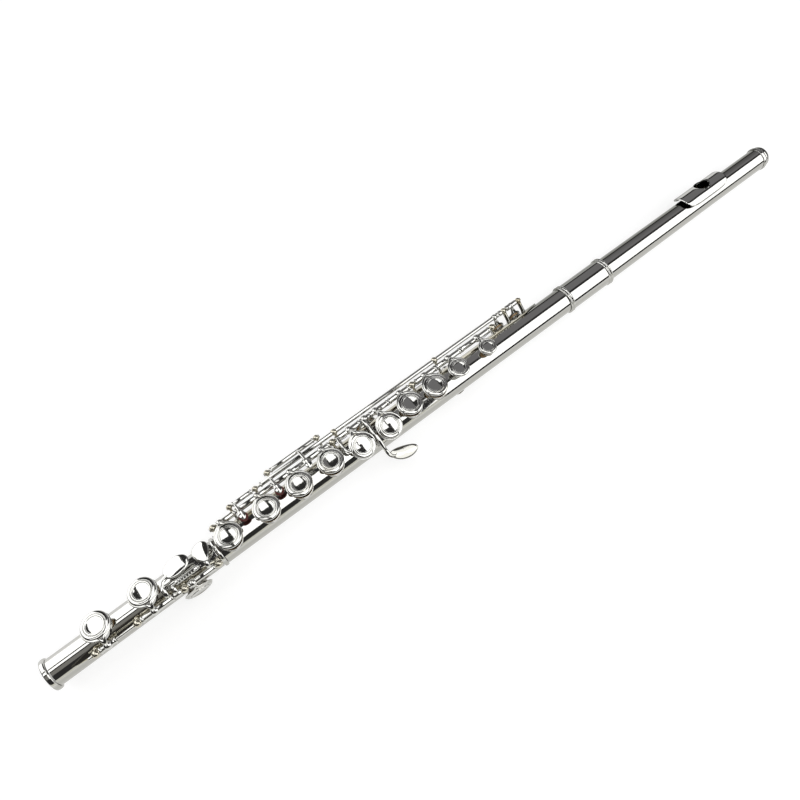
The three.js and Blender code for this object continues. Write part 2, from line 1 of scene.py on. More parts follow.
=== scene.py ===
"""A concert flute in bright silver plate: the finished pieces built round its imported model."""
import json
import math

import bmesh
import bpy
from mathutils import Matrix, Vector


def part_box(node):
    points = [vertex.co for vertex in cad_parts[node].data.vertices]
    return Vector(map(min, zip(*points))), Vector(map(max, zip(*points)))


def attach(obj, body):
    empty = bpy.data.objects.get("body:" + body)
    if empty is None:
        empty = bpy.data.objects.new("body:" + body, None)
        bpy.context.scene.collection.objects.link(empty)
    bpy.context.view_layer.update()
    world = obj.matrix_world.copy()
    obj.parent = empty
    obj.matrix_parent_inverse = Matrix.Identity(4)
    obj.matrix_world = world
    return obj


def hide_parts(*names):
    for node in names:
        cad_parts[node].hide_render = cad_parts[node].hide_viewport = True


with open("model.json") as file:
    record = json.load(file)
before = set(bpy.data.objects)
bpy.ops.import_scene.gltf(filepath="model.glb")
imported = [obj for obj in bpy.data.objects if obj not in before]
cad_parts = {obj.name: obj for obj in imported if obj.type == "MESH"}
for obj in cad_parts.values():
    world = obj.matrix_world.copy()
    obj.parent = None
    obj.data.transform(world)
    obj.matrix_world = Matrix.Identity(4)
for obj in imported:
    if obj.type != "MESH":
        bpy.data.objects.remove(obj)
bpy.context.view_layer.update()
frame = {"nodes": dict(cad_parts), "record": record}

MM = 0.001
TURN = 2 * math.pi

# ---- where things are, in millimetres from the open end of the foot and from the bore axis ----
FOOT_LOW, FOOT_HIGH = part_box("foot_ring")
BORE = (FOOT_LOW + FOOT_HIGH) / 2
FLUTE = Matrix.Translation((FOOT_LOW.x, BORE.y, BORE.z)) @ Matrix.Scale(MM, 4)
FOOT_ROLL = 23.4                 # the foot joint is turned this far towards the player
WALL = 0.45
BODY_R = 10.05
FOOT_R = 9.9
RING_R = 11.4
CHIMNEY_TOP = 11.55
PAD_FACE = 11.9
PAD_THICK = 1.6
CUP_CEILING = 13.8
CUP_TOP = 14.65
SKIRT_END = 12.6
OPEN = 9.6                       # degrees that a standing key rests off its hole
TUBE_R = 2.0
TUBE_BORE = 1.3
FINE_TUBE_R = 1.6
FINE_BORE = 1.1
RIB_OFF = 0.3
STOUT_TUBE_R = 2.1
STEEL_R = 0.95
FINE_STEEL_R = 0.75
GAP = 0.3                        # clearance between neighbouring pieces
RIB_THICK = 0.8
CHIMNEY_WALL = 0.5
ROOT = 4                         # chimneys start this high above the bore axis
OVERSHOOT = 1                    # cutting tools reach this far past what they cut
FACE_STEP = 4                    # spacing of the rings of faces along a tube
TUBE_SIDES = 96
HOLE_SIDES = 56
ALONG = (1, 0, 0)

# A hinge line's radius and its angle from the top of the tube towards the player's side.
MAIN_LINE = (16, 54.5)
TRILL_LINE = (20.6, 64)
SIDE_LINE = (24.45, 75.8)
THUMB_LINE = (15.8, 125.5)
FOOT_LINE = (16, -61.9)


def turned_to(angle, station=0.0):
    """The frame of a shape that faces an angle round the tube."""
    return Matrix.Translation((station, 0, 0)) @ Matrix.Rotation(math.radians(-angle), 4, "X")


FOOT = turned_to(FOOT_ROLL)
UP = Matrix.Rotation(-math.pi / 2, 4, "Y")      # takes the X axis to Z


def polar(angle, radius):
    """Y and Z at an angle from the top of the tube and a radius from its axis."""
    return radius * math.sin(math.radians(angle)), radius * math.cos(math.radians(angle))


def at_line(line, station=0.0):
    """From a shape on the X axis to its place on a hinge line."""
    radius, angle = line
    return Matrix.Translation((station, *polar(angle, radius)))


# ---- materials -------------------------------------------------------------------------------
class Value:
    """A number that changes over a surface, with arithmetic."""

    def __init__(self, finish, socket):
        self.finish = finish
        self.socket = socket

    def maths(self, operation, first, second):
        return self.finish.node("ShaderNodeMath", {"operation": operation}, {0: first, 1: second})

    def __add__(self, other):
        return self.maths("ADD", self, other)

    def __mul__(self, other):
        return self.maths("MULTIPLY", self, other)

    def __sub__(self, other):
        return self.maths("SUBTRACT", self, other)

    def __rsub__(self, other):
        return self.maths("SUBTRACT", other, self)

    __radd__ = __add__
    __rmul__ = __mul__


class Finish:
    """A material and the nodes that make its surface."""

    def __init__(self, name, **constants):
        self.material = bpy.data.materials.new(name)
        self.material.use_nodes = True
        self.tree = self.material.node_tree
        self.surface = self.tree.nodes["Principled BSDF"]
        for socket, value in constants.items():
            self.surface.inputs[socket.replace("_", " ")].default_value = value
        self.place = self.node("ShaderNodeTexCoord", output="Object")

    def node(self, kind, settings=None, values=None, output=0):
        made = self.tree.nodes.new(kind)
        for key, setting in (settings or {}).items():
            setattr(made, key, setting)
        for key, value in (values or {}).items():
            self.feed(made.inputs[key], value)
        return Value(self, made.outputs[output])

    def feed(self, socket, value):
        if isinstance(value, Value):
            self.tree.links.new(value.socket, socket)
        else:
            socket.default_value = value

    def along(self, axis):
        return self.node("ShaderNodeSeparateXYZ", values={"Vector": self.place}, output=axis)

    def noise(self, scale, stretch=(1, 1, 1), detail=3.0):
        spot = self.node("ShaderNodeMapping", values={"Vector": self.place, "Scale": stretch})
        return self.node("ShaderNodeTexNoise", values={
            "Vector": spot, "Scale": scale, "Detail": detail, "Roughness": 0.6}, output="Fac")

    def steps(self, value, low, high):
        """0 below low, 1 above high, and smooth between."""
        return self.node("ShaderNodeMapRange", {"interpolation_type": "SMOOTHSTEP"}, {
            "Value": value, "From Min": low, "From Max": high})

    def mix(self, share, first, second):
        made = self.tree.nodes.new("ShaderNodeMix")
        made.data_type = "RGBA"
        for socket, value in zip((made.inputs[0], made.inputs[6], made.inputs[7]),
                                 (share, first, second)):
            self.feed(socket, value)
        return Value(self, made.outputs[2])

    def bump(self, height, depth):
        return self.node("ShaderNodeBump", values={"Height": height, "Distance": depth},
                         output="Normal")

    def done(self, **links):
        for socket, value in links.items():
            self.feed(self.surface.inputs[socket.replace("_", " ")], value)
        return self.material


# Painted shade: the plate's colour is darker low down and, starting higher, on the far side towards the
# head, which keeps the flanks of the tube dark. In metres.
SHADE_TOP = 0.0255      # the tint starts below this height
SHADE_FADE = 0.0025     # and is full this much lower
FAR_RISE = 0.0025       # it starts this much higher on the far side, towards the head
LOW_PAINTED_SHADE = (0.42, 0.415, 0.385, 1)
FAR_PAINTED_SHADE = (0.19, 0.19, 0.17, 1)
HEADWARD = 0.1          # the far side's tint comes in over this length


def plated(name, clean, dull, shine, along=(1, 1, 1), tarnish=0.35):
    """Silver plate: buffing lines, fine scratches and warm stains, with painted shade low down and on the
    far side.
    """
    finish = Finish(name, Metallic=1.0)
    clouds = finish.noise(45, detail=4.0)
    buffing = finish.noise(900, stretch=along, detail=2.0)
    hairs = finish.steps(finish.noise(2600, stretch=(0.25, 1, 0.6), detail=1.0), 0.66, 0.74)
    stain = finish.steps(clouds, 0.52, 0.8) * tarnish
    colour = finish.mix(stain, clean, dull)
    # Painted shade: below a height, which starts higher on the far side towards the head, the colour is
    # mixed towards darker tints.
    far = (finish.steps(finish.along("Y"), 0, SHADE_FADE)
           * finish.steps(finish.along("X"), 0, HEADWARD))
    level = finish.along("Z") - far * FAR_RISE
    low = finish.steps(level * -1, -SHADE_TOP, SHADE_FADE - SHADE_TOP)
    colour = finish.mix(low, colour, finish.mix(far, LOW_PAINTED_SHADE, FAR_PAINTED_SHADE))
    roughness = clouds * 0.05 + buffing * 0.05 + hairs * 0.05 + stain * 0.1 + (shine - 0.05)
    normal = finish.bump(buffing + hairs * -0.6, 0.000004)
    return finish.done(Base_Color=colour, Roughness=roughness, Normal=normal)


def make_finishes():
    made = {}
    made["tube_silver"] = plated("bright_tube_plate", (0.545, 0.542, 0.52, 1),
                                 (0.52, 0.48, 0.4, 1), 0.055, along=(0.04, 1, 1), tarnish=0.2)
    made["key_silver"] = plated("bright_key_plate", (0.57, 0.568, 0.545, 1),
                                (0.54, 0.49, 0.38, 1), 0.06)
    made["rib_silver"] = plated("rib_plate", (0.5, 0.475, 0.4, 1), (0.26, 0.2, 0.1, 1), 0.08,
                                along=(0.1, 1, 1), tarnish=0.8)
    steel = Finish("blued_steel", Metallic=1.0)
    grain = steel.noise(1200, stretch=(0.1, 1, 1))
    made["steel"] = steel.done(
        Base_Color=steel.mix(grain, (0.30, 0.31, 0.34, 1), (0.16, 0.18, 0.24, 1)),
        Roughness=grain * 0.15 + 0.2, Normal=steel.bump(grain, 0.000003))
    skin = Finish("pad_skin", Specular_IOR_Level=0.4)
    weave = skin.noise(700, detail=4.0)
    folds = skin.noise(160, detail=2.0)
    made["pad_skin"] = skin.done(
        Base_Color=skin.mix(skin.steps(weave + folds * 0.6, 0.5, 1.1),
                            (0.56, 0.41, 0.24, 1), (0.36, 0.22, 0.11, 1)),
        Roughness=weave * 0.2 + 0.4, Normal=skin.bump(weave + folds * 2.0, 0.00003))
    bark = Finish("natural_cork")
    cells = bark.noise(900, detail=5.0)
    pits = bark.steps(bark.noise(380, detail=2.0), 0.62, 0.7)
    made["cork"] = bark.done(
        Base_Color=bark.mix(pits + cells * 0.3, (0.62, 0.41, 0.22, 1), (0.24, 0.13, 0.06, 1)),
        Roughness=cells * 0.1 + 0.8, Normal=bark.bump(cells - pits, 0.00008))
    turned = Finish("turned_brass", Metallic=1.0)
    rings = turned.noise(2200, stretch=(1, 0.05, 0.05))
    age = turned.noise(120)
    made["brass"] = turned.done(
        Base_Color=turned.mix(age, (0.74, 0.53, 0.24, 1), (0.45, 0.30, 0.12, 1)),
        Roughness=age * 0.2 + rings * 0.1 + 0.15, Normal=turned.bump(rings, 0.000008))
    felt = Finish("red_felt")
    fibres = felt.noise(1500, detail=5.0)
    made["red_felt"] = felt.done(
        Base_Color=felt.mix(fibres, (0.05, 0.008, 0.007, 1), (0.12, 0.022, 0.018, 1)),
        Roughness=fibres * 0.1 + 0.85, Normal=felt.bump(fibres, 0.0001))
    return made


FINISHES = make_finishes()


# ---- shapes, drawn in millimetres ------------------------------------------------------------
def smoothed(points, fine=4):
    """More points on a soft curve through the given ones; a point given twice stays a corner."""
    curve = []
    last = len(points) - 1
    for i in range(last):
        before, start = Vector(points[max(i - 1, 0)]), Vector(points[i])
        end, after = Vector(points[i + 1]), Vector(points[min(i + 2, last)])
        if (end - start).length < 1e-6:
            continue
        for k in range(fine):
            t = k / fine
            curve.append(0.5 * ((2 * start) + (end - before) * t
                                + (2 * before - 5 * start + 4 * end - after) * t * t
                                + (3 * start - before - 3 * end + after) * t ** 3))
    curve.append(Vector(points[last]))
    return curve


def turned(profile, steps=64, loop=False):
    """A shape turned round X from (along, radius) points."""
    bm = bmesh.new()
    row = [bm.verts.new((along, 0, radius)) for along, radius in profile]
    pairs = list(zip(row, row[1:])) + ([(row[-1], row[0])] if loop else [])
    edges = [bm.edges.new(pair) for pair in pairs]
    bmesh.ops.spin(bm, geom=row + edges, cent=(0, 0, 0), axis=(1, 0, 0), dvec=(0, 0, 0),
                   angle=TURN, steps=steps, space=Matrix(), use_merge=True)
    bmesh.ops.remove_doubles(bm, verts=bm.verts, dist=1e-4)
    return bm


def collar(x0, x1, inner, outer, edge=0.15, steps=48):
    """A short tube with softened corners."""
    return turned([(x0, inner), (x0, outer - edge), (x0 + edge * 0.3, outer - edge * 0.3),
                   (x0 + edge, outer), (x1 - edge, outer), (x1 - edge * 0.3, outer - edge * 0.3),
                   (x1, outer - edge), (x1, inner)], steps, loop=True)


def pin(x0, x1, radius, edge=0.15, steps=32):
    """A round bar with softened ends."""
    return turned([(x0, 0), (x0, radius - edge), (x0 + edge * 0.3, radius - edge * 0.3),
                   (x0 + edge, radius), (x1 - edge, radius),
                   (x1 - edge * 0.3, radius - edge * 0.3), (x1, radius - edge), (x1, 0)], steps)


def plug(low, high, radius, steps):
    """A round bar with sharp ends, for cutting."""
    return turned([(low, 0), (low, radius), (high, radius), (high, 0)], steps)


def ball(radius):
    return turned([(radius * -math.cos(math.pi * k / 12), radius * math.sin(math.pi * k / 12))
                   for k in range(13)], 24)


def button(height, half_length, half_width, crown=0.35, steps=48):
    """An oval touch piece with rolled edges and a crowned top, standing on z = 0."""
    bm = turned(smoothed([(0, 0), (0, 0), (0, 0.8), (0.12 * height, 0.94), (0.45 * height, 1.0),
                          (0.8 * height, 0.95), (height, 0.82), (height + crown * 0.6, 0.45),
                          (height + crown, 0)]), steps)
    bm.transform(Matrix.Diagonal((half_length, half_width, 1, 1)) @ UP)
    return bm


def sweep(stations, corners=12):
    """A bar through stations of (centre, half width, half thickness), wide along `across`."""
    bm = bmesh.new()
    bmesh.ops.create_circle(bm, cap_ends=False, radius=1, segments=corners)
    edges = bm.edges[:]
    first = edges
    centres = [Vector(station[0]) for station in stations]
    before = None
    for i, (centre, half_width, half_thick, across) in enumerate(stations):
        along = (centres[min(i + 1, len(centres) - 1)] - centres[max(i - 1, 0)]).normalized()
        across = Vector(across)
        across = (across - across.dot(along) * along).normalized()
        upward = along.cross(across)
        turn = Matrix((across * half_width, upward * half_thick, along)).transposed()
        place = Matrix.Translation(centre) @ turn.to_4x4()
        if before is None:
            bm.transform(place)
        else:
            grown = bmesh.ops.extrude_edge_only(bm, edges=edges)["geom"]
            verts = {v for v in grown if isinstance(v, bmesh.types.BMVert)}
            edges = [e for e in grown if isinstance(e, bmesh.types.BMEdge)
                     and e.verts[0] in verts and e.verts[1] in verts]
            bmesh.ops.transform(bm, matrix=place @ before.inverted(), verts=list(verts))
        before = place
    for rim in (first, edges):
        bmesh.ops.contextual_create(bm, geom=rim)
    return bm


def strap(points, across, half_width, half_thick, ends=0.6, fine=3):
    """A bar of even width through points, drawn in a little at its two ends."""
    curve = smoothed(points, fine)
    sizes = [ends] + [1.0] * (len(curve) - 2) + [ends]
    return sweep([(p, half_width * k, half_thick * k, across) for p, k in zip(curve, sizes)])


def joined(*shapes):
    """Several shapes in one mesh; each is a shape or a (shape, place) pair."""
    whole = bmesh.new()
    for shape in shapes:
        part, place = shape if isinstance(shape, tuple) else (shape, Matrix())
        part.transform(place)
        carried = bpy.data.meshes.new("carried")
        part.to_mesh(carried)
        part.free()
        whole.from_mesh(carried)
        bpy.data.meshes.remove(carried)
    return whole


def carved(shape, tool, operation="DIFFERENCE"):
    """The shape after a boolean with the tool."""
    objects = []
    for bm in (shape, tool):
        bmesh.ops.recalc_face_normals(bm, faces=bm.faces)
        mesh = bpy.data.meshes.new("blank")
        bm.to_mesh(mesh)
        bm.free()
        objects.append(bpy.data.objects.new("blank", mesh))
        bpy.context.scene.collection.objects.link(objects[-1])
    work, cutter = objects
    step = work.modifiers.new("carve", "BOOLEAN")
    step.operation, step.object, step.solver = operation, cutter, "EXACT"
    view = bpy.context.evaluated_depsgraph_get()
    made = bpy.data.meshes.new_from_object(work.evaluated_get(view))
    result = bmesh.new()
    result.from_mesh(made)
    for old in objects:
        mesh = old.data
        bpy.data.objects.remove(old)
        bpy.data.meshes.remove(mesh)
    bpy.data.meshes.remove(made)
    return result


def add(name, shape, body, slot, place=None, nodes=(), rounding=0, crease=38):
    """Makes a finished piece of a shape drawn in millimetres, riding on its body."""
    bmesh.ops.remove_doubles(shape, verts=shape.verts, dist=2e-4)
    bmesh.ops.recalc_face_normals(shape, faces=shape.faces)
    for face in shape.faces:
        face.smooth = True
    for edge in shape.edges:
        edge.smooth = edge.calc_face_angle(0.0) < math.radians(crease)
    shape.transform(FLUTE @ (place or Matrix()))
    mesh = bpy.data.meshes.new(name)
    shape.to_mesh(mesh)
    shape.free()
    mesh.materials.append(FINISHES[slot])
    piece = bpy.data.objects.new(name, mesh)
    bpy.context.scene.collection.objects.link(piece)
    if rounding:
        soften = piece.modifiers.new("rounding", "SUBSURF")
        soften.levels = soften.render_levels = rounding
    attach(piece, body)
    if nodes:
        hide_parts(*nodes)
    return piece


# ---- tone holes and keys: station, angle, hole radius, cup radius, hinge tube ----------------
OWNER = {node: body for body, nodes in
         frame["record"]["behaviour"]["bodies"].items() for node in nodes}


class Key:
    """A cup with its arm and hinge tube, drawn closed in the frame of its tone hole."""

    def __init__(self, name, station, angle, hole, cup, tube, line=MAIN_LINE, open_by=OPEN,
                 base=Matrix(), pad=True):
        self.name, self.station, self.angle, self.hole, self.cup = name, station, angle, hole, cup
        self.tube, self.line, self.open_by, self.base, self.pad = tube, line, open_by, base, pad
        self.body = OWNER[f"{name}_key"]
        self.hinge = polar(line[1] - angle, line[0])
        self.side = math.copysign(1, self.hinge[0])

    def place(self):
        """From the closed key's own frame to where the key rests."""
        pivot = Matrix.Translation((0, *self.hinge))
        swing = Matrix.Rotation(-self.side * math.radians(self.open_by), 4, "X")
        return self.base @ turned_to(self.angle, self.station) @ pivot @ swing @ pivot.inverted()

    def from_flute(self):
        """From the flute's frame to the closed key's own frame."""
        return turned_to(self.angle, self.station).inverted()


KEYS = {key.name: key for key in (
    Key("d", 140.1, 0, 7.8, 9.2, (137.4, 152.2)),
    Key("e", 170.5, 0, 7.8, 9.2, (152.6, 183.2)),
    Key("f", 197.5, 0, 7.8, 9.2, (183.6, 210.2)),
    Key("f_sharp", 224, 0, 7.8, 9.2, (210.6, 230.9)),
    Key("lower_g", 248.2, -19, 7.8, 9.2, (236.4, 257.6)),
    Key("upper_g", 271.8, -19, 7.8, 9.2, (266.4, 283)),
    Key("a", 293.6, 0, 7.4, 9, (283.4, 302)),
    Key("b_flat", 316.5, 0, 7.2, 8.9, (307.8, 327)),
    Key("c", 338.8, 0, 0, 7.5, (327.4, 350), pad=False),
    Key("c_sharp_vent", 366.2, 0, 3.5, 6.3, (350.4, 378.1)),
    Key("g_sharp", 262, 116, 6.8, 8.4, (258, 266), open_by=0),
    Key("thumb_b", 338, 180, 6.6, 8.1, (321.2, 345), line=THUMB_LINE),
    Key("d_trill", 388, 98, 4.2, 5.6, (176, 391.5), line=TRILL_LINE, open_by=0),
    Key("d_sharp_trill", 404.5, 98, 4.2, 5.6, (401.5, 407.5), line=TRILL_LINE, open_by=0),
    Key("low_c", 41.9, 0, 8.1, 9.8, (36, 48), line=FOOT_LINE, base=FOOT),
    Key("low_c_sharp", 76.2, 0, 8.1, 9.8, (66.4, 90), line=FOOT_LINE, base=FOOT),
    Key("d_sharp", 104.6, -116, 7, 9.8, (101.5, 121.9), line=FOOT_LINE, open_by=0, base=FOOT),
)}


# ---- tubes with drawn and rolled tone holes --------------------------------------------------
def chimney(key):
    """The outside of a drawn tone hole: a fillet at the tube and a rolled rim on top."""
    r = key.hole + CHIMNEY_WALL
    foot = smoothed([(ROOT, r + 0.05), (ROOT, r + 0.05), (8.6, r + 0.05), (10.2, r + 0.02),
                     (CHIMNEY_TOP - 0.75, r), (CHIMNEY_TOP - 0.6, r + 0.28),
                     (CHIMNEY_TOP - 0.3, r + 0.4), (CHIMNEY_TOP - 0.05, r + 0.25),
                     (CHIMNEY_TOP, r - 0.1)], 3)
    return turned([(ROOT, 0), *foot, (CHIMNEY_TOP, 0)], HOLE_SIDES)


def hole_cut(key):
    """The open inside of a tone hole, a little wider at its rim."""
    low, high = ROOT - 2, CHIMNEY_TOP + OVERSHOOT
    rim = [(low, key.hole), (CHIMNEY_TOP - 0.4, key.hole), (CHIMNEY_TOP - 0.1, key.hole + 0.12),
           (high, key.hole + 0.2)]
    return turned([(low, 0), *rim, (high, 0)], HOLE_SIDES)


def hole_place(key):
    """From a shape turned round X to its place standing over a tone hole."""
    return turned_to(key.angle, key.station) @ UP


def drilled(x0, x1, outer, keys):
    """A tube whose rings of faces are close enough for its holes to leave it smooth."""
    count = round((x1 - x0) / FACE_STEP)
    stations = [x0 + (x1 - x0) * k / count for k in range(count + 1)]
    blank = turned([(x0, 0), *[(x, outer) for x in stations], (x1, 0)], TUBE_SIDES)
    towers = [(chimney(key), hole_place(key)) for key in keys]
    blank = carved(blank, joined(*towers), "UNION")
    low, high = x0 - OVERSHOOT, x1 + OVERSHOOT
    wall = [(x, outer - WALL) for x in (low, *stations[1:-1], high)]
    bore = turned([(low, 0), *wall, (high, 0)], TUBE_SIDES)
    blank = carved(blank, bore)
    return carved(blank, joined(*[(hole_cut(key), hole_place(key)) for key in keys]))


def band(x0, x1, inner, outer):
    """An end ring with rolled edges."""
    width = x1 - x0
    line = smoothed([(x0, outer - 0.9), (x0 + 0.08 * width, outer - 0.3),
                     (x0 + 0.3 * width, outer), (x0 + 0.7 * width, outer),
                     (x0 + 0.92 * width, outer - 0.3), (x1, outer - 0.9)])
    return turned([(x0, inner), *line, (x1, inner)], TUBE_SIDES, loop=True)


FOOT_KEYS = [KEYS[name] for name in ("low_c", "low_c_sharp", "d_sharp")]
BODY_KEYS = [key for key in KEYS.values() if key not in FOOT_KEYS and key.hole]
FOOT_END = 126.5
FOOT_BAND = 3.8
add("foot_end_ring", band(0, FOOT_BAND, FOOT_R - WALL, RING_R), "foot_joint",
    "tube_silver", FOOT, ["foot_ring"])
add("foot_joint_tube", drilled(FOOT_BAND + GAP, FOOT_END, FOOT_R, FOOT_KEYS), "foot_joint",
    "tube_silver", FOOT, ["foot_tube"])

TENON_R = FOOT_R - WALL - 0.25
BODY_RING = (127, 130)
TENON_START = 111
tenon = collar(TENON_START, BODY_RING[0] + 0.5, TENON_R - WALL, TENON_R, 0.2, TUBE_SIDES)
add("body_tenon_and_ring", joined(tenon, band(*BODY_RING, TENON_R - WALL, RING_R - 0.4)),
    "body", "tube_silver", nodes=["body_tenon"])
BARREL = (443, 487)
add("body_main_tube", drilled(BODY_RING[1] + GAP, BARREL[0] - GAP, BODY_R, BODY_KEYS), "body",
    "tube_silver", nodes=["body_tube"])
BARREL_BORE = 9.75
BARREL_R = 10.6
BARREL_RING = 4.2
low_ring = [(x + BARREL[0], r) for x, r in smoothed([
    (0, 10.4), (0.2, 11.1), (0.9, RING_R), (1.6, 11.1), (1.9, 10.85), (2.3, 10.85), (2.6, 11.1),
    (3.3, 11.3), (3.9, 11.0), (BARREL_RING, BARREL_R)])]
high_ring = [(BARREL[0] + BARREL[1] - x, r) for x, r in reversed(low_ring)]
walls = [(BARREL[0] + FACE_STEP * k, BARREL_R) for k in range(2, 10)]
add("barrel_with_rings", turned([(BARREL[0], BARREL_BORE), *low_ring, *walls, *high_ring,
                                 (BARREL[1], BARREL_BORE)], TUBE_SIDES, loop=True),
    "body", "tube_silver", nodes=["barrel"])


# ---- cups, arms and hinge tubes --------------------------------------------------------------
def cup_shape(r):
    """A key cup: dished centre, raised ring, rounded shoulder, thin skirt, hollow below."""
    top = CUP_TOP
    outside = smoothed([(top - 0.72, 0), (top - 0.67, 0.2 * r), (top - 0.5, 0.42 * r),
                        (top - 0.31, 0.555 * r), (top - 0.31, 0.57 * r),
                        (top - 0.08, 0.59 * r), (top, 0.62 * r), (top, 0.67 * r),
                        (top - 0.1, 0.695 * r), (top - 0.58, 0.71 * r), (top - 0.58, 0.745 * r),
                        (top - 0.3, 0.765 * r), (top - 0.4, 0.85 * r), (top - 0.62, 0.925 * r),
                        (top - 1.0, 0.975 * r), (top - 1.45, r), (SKIRT_END + 0.25, r),
                        (SKIRT_END + 0.05, r - 0.12), (SKIRT_END, r - 0.3),
                        (SKIRT_END + 0.1, r - 0.55)])
    return turned([*outside, (CUP_CEILING, r - 0.55), (CUP_CEILING, 0)], 72)


def pad_shape(key):
    """A felt pad in fish skin, with the print of the tone hole's rim."""
    r = key.cup - 0.87
    edge = PAD_FACE
    print_at = min(key.hole + 0.25, r - 0.9)
    face = smoothed([(edge + 0.05, 0), (edge + 0.02, print_at - 1.1), (edge, print_at - 0.6),
                     (edge + 0.14, print_at), (edge, print_at + 0.5), (edge + 0.1, r - 0.3),
                     (edge + 0.4, r)])
    return turned([*face, (edge + PAD_THICK, r), (edge + PAD_THICK, 0)], 64)


def pronged_arm(key, width=1.0):
    """The pointed arm: two prongs leave the hinge together and hug the cup's shoulder."""
    away, low = abs(key.hinge[0]), key.hinge[1]
    r, s = key.cup, key.side
    rise = CUP_TOP - 1.5
    prongs = []
    for way in (-1, 1):
        route = [((way * 0.1, s * away, low + 1.0), 1.5 * width, 1.1),
                 ((way * 0.3, s * (away - 0.35 * (away - r)), low + 0.62 * (rise - low) + 0.5),
                  1.5 * width, 0.85),
                 ((way * 1.2, s * (r + 0.9), rise + 0.1), 1.4 * width, 0.8)]
        for turn, half, stand in ((20, 1.1, 0.6), (38, 0.95, 0.5), (56, 0.85, 0.42),
                                  (76, 0.75, 0.35), (94, 0.5, 0.25), (108, 0.14, 0.05)):
            y, x = (r + stand) * math.cos(math.radians(turn)), (r + stand) * math.sin(
                math.radians(turn))
            route.append(((way * x, s * y, rise - 0.004 * turn), half * width, 0.7 * min(1, half)))
        stations = []
        for i, (centre, half, thick) in enumerate(route):
            across = Vector((way, 0, 0)) if i < 3 else Vector(centre[:2] + (0,)).normalized()
            stations.append((centre, half, thick, across))
        stations[2] = (*stations[2][:3], Vector((way, s * 0.4, 0)))
        prongs.append(sweep(stations, 10))
    return joined(*prongs)


def hinge_tube(x0, x1, outer=TUBE_R, bore=TUBE_BORE):
    """A hinge tube with a soldered ring near each end."""
    shapes = [collar(x0, x1, bore, outer, 0.2, 40)]
    if x1 - x0 > 8:
        for start in (x0 + 0.1, x1 - 1.5):
            shapes.append(collar(start, start + 1.4, outer - 0.2, outer + 0.35, 0.3, 40))
    return joined(*shapes)


def root_ball(size=1.0):
    """The swelling where an arm is soldered on its hinge tube."""
    outer = 2.75 * size
    line = smoothed([(-2.6 * size, 1.7), (-2.0 * size, 2.2 * size), (-1.0 * size, outer),
                     (0, outer + 0.12), (1.0 * size, outer), (2.0 * size, 2.2 * size),
                     (2.6 * size, 1.7)])
    return turned(line, 32, loop=True)


def add_key(key, outer, bore, arm):
    """Adds a key's cup, arm, hinge tube and pad."""
    place = key.place()
    slot = "key_silver"
    add(f"{key.name}_cup", joined((cup_shape(key.cup), UP)), key.body, slot, place,
        [f"{key.name}_key"])
    add(f"{key.name}_arm", pronged_arm(key, arm), key.body, slot, place, rounding=1, crease=80)
    base = Matrix.Translation((0, *key.hinge))
    tube = hinge_tube(key.tube[0] - key.station, key.tube[1] - key.station, outer, bore)
    add(f"{key.name}_hinge_tube", joined((tube, base), (root_ball(outer / TUBE_R), base)),
        key.body, slot, place)
    if key.pad:
        add(f"{key.name}_pad_disc", joined((pad_shape(key), UP)), key.body, "pad_skin", place,
            [f"{key.name}_pad"])


for key in KEYS.values():
    fine = key.line is TRILL_LINE
    add_key(key, FINE_TUBE_R if fine else TUBE_R, FINE_BORE if fine else TUBE_BORE,
            0.7 if key.cup < 7 else 1.0)


# ---- touches, levers and rods on the keys ----------------------------------------------------
def lever(name, key, *shapes):
    """Extra pieces of a key, drawn in the flute's frame while the key is closed."""
    place = key.place() @ key.from_flute()
    add(name, joined(*shapes), key.body, "key_silver", place, rounding=1, crease=60)


def rods(name, key, *shapes):
    """Turned extra pieces of a key, drawn in the flute's frame while the key is closed."""
    add(name, joined(*shapes), key.body, "key_silver", key.place() @ key.from_flute())


# The split E arm curls forward from the G tube to lie beside the lower G cup.
lever("split_e_arm", KEYS["lower_g"],
      strap([(237.8, 13.0, 11.2), (237.4, 11.2, 13.6), (236.6, 7.4, 14.6), (236.3, 2.4, 14.4),
             (237.0, -1.6, 13.9), (238.6, -4.2, 13.5)], ALONG, 1.15, 0.7))

# The G sharp lever crosses between the two G cups and ends in a spoon for the little finger.
SPOON_DISH = 0.006
SPOON_BEND = 0.012
SPOON = (Matrix.Translation((270.7, -21.6, 3.4)) @ Matrix.Rotation(math.radians(-20), 4, "Z")
         @ Matrix.Rotation(math.radians(12), 4, "X"))
spoon = button(1.5, 10.4, 4.8, 0.5)
for vert in spoon.verts:
    vert.co.z += SPOON_DISH * vert.co.x ** 2 - 0.6
    vert.co.y += SPOON_BEND * vert.co.x ** 2 - 0.6
lever("g_sharp_lever", KEYS["g_sharp"],
      strap([(260, 13.0, 11.4), (260, 10.6, 13.4), (260, 6, 14.1), (260, 0, 13.9),
             (260, -6.2, 12.7), (260.1, -11.4, 9.3), (260.4, -15, 6), (261.3, -18.6, 4.4),
             (263.4, -20.2, 3.9), (266.5, -20.6, 3.7)], ALONG, 1.5, 0.8),
      (spoon, SPOON))


def trill_touch(station):
    """A trill touch and the bar that carries it."""
    return [strap([(station, 18.4, 10.6), (station, 16.4, 13.2), (station, 12.6, 15.2),
                   (station, 9, 16.1)], ALONG, 1.0, 0.65),
            (button(1.1, 2.5, 3.8, 0.4), Matrix.Translation((station, 7.2, 15.5)))]


def felt_stop(name, station, key):
    """The felt under a trill touch."""
    felt = turned([(0, 0), (0, 2.7), (0.3, 3.1), (3.4, 3.2), (3.6, 3.0), (3.6, 0)], 40)
    add(name, joined((felt, Matrix.Translation((station, 5.8, 12.0)) @ UP)), key.body, "red_felt",
        key.place() @ key.from_flute())


